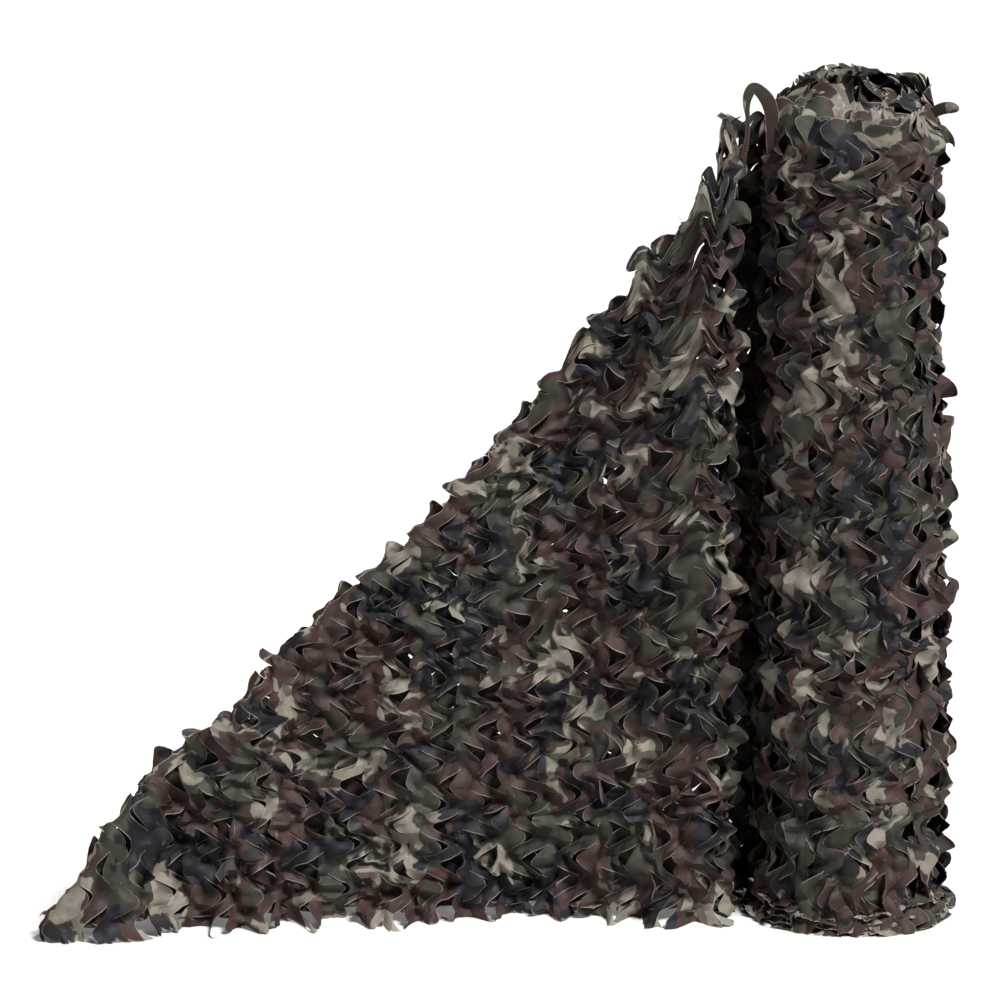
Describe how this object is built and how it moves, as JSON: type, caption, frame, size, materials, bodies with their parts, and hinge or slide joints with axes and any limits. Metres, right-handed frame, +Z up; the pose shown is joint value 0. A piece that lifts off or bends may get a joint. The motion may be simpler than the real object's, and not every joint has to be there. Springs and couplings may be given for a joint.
{
  "type": "camouflage net roll",
  "caption": "Upright roll of leaf-cut camouflage netting with its loose end drawn out sideways along the floor, the top corner folded down behind.",
  "frame": {"origin": "middle of the footprint, at the floor", "axes": "+Z up the roll, +X from the loose end's tip towards the roll, +Y behind the net"},
  "size_m": [1.6144, 0.3934, 1.5024],
  "materials": {
    "roll_cloth": "matt printed polyester",
    "loose_end_cloth": "matt printed polyester"
  },
  "bodies": {
    "root": {"roll": "roll_cloth", "loose_end": "loose_end_cloth"}
  },
  "joints": []
}
